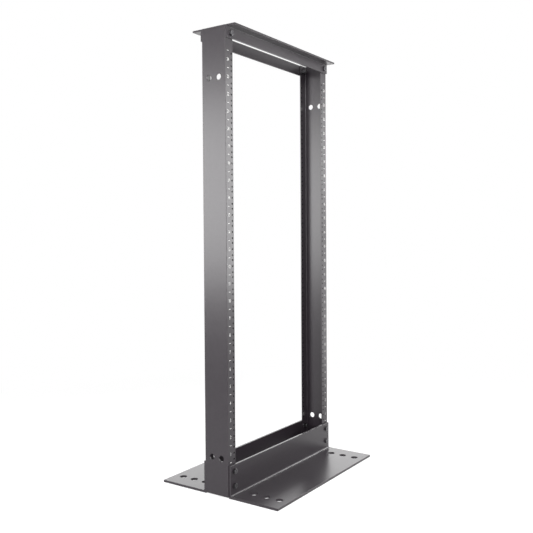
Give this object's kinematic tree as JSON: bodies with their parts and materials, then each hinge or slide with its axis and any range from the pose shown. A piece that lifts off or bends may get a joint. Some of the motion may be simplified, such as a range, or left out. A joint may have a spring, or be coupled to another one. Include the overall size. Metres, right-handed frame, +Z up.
{
  "type": "two post open frame rack",
  "caption": "Open frame equipment rack of channel posts with a grid of tapped holes, bolted between flat base angles and short top angles.",
  "frame": {"origin": "on the floor, in the middle of the base", "axes": "+Z up along the posts, +X across the rack towards the right post, +Y from the front to the rear"},
  "size_m": [0.516, 0.381, 1.2224],
  "materials": {
    "frame_steel": "semi-gloss black powder coat",
    "fastener_steel": "black oxide steel, lightly oiled",
    "mark_ink": "white screen printed ink of the unit marks"
  },
  "bodies": {
    "root": {"left_post": "frame_steel", "right_post": "frame_steel", "front_base_angle": "frame_steel", "rear_base_angle": "frame_steel", "front_top_angle": "frame_steel", "rear_top_angle": "frame_steel", "front_left_lower_bolt": "fastener_steel", "front_left_lower_washer": "fastener_steel", "front_left_lower_nut": "fastener_steel", "front_left_upper_bolt": "fastener_steel", "front_left_upper_washer": "fastener_steel", "front_left_upper_nut": "fastener_steel", "front_left_top_bolt": "fastener_steel", "front_left_top_washer": "fastener_steel", "front_left_top_nut": "fastener_steel", "front_right_lower_bolt": "fastener_steel", "front_right_lower_washer": "fastener_steel", "front_right_lower_nut": "fastener_steel", "front_right_upper_bolt": "fastener_steel", "front_right_upper_washer": "fastener_steel", "front_right_upper_nut": "fastener_steel", "front_right_top_bolt": "fastener_steel", "front_right_top_washer": "fastener_steel", "front_right_top_nut": "fastener_steel", "rear_left_lower_bolt": "fastener_steel", "rear_left_lower_washer": "fastener_steel", "rear_left_lower_nut": "fastener_steel", "rear_left_upper_bolt": "fastener_steel", "rear_left_upper_washer": "fastener_steel", "rear_left_upper_nut": "fastener_steel", "rear_left_top_bolt": "fastener_steel", "rear_left_top_washer": "fastener_steel", "rear_left_top_nut": "fastener_steel", "rear_right_lower_bolt": "fastener_steel", "rear_right_lower_washer": "fastener_steel", "rear_right_lower_nut": "fastener_steel", "rear_right_upper_bolt": "fastener_steel", "rear_right_upper_washer": "fastener_steel", "rear_right_upper_nut": "fastener_steel", "rear_right_top_bolt": "fastener_steel", "rear_right_top_washer": "fastener_steel", "rear_right_top_nut": "fastener_steel"}
  },
  "joints": []
}
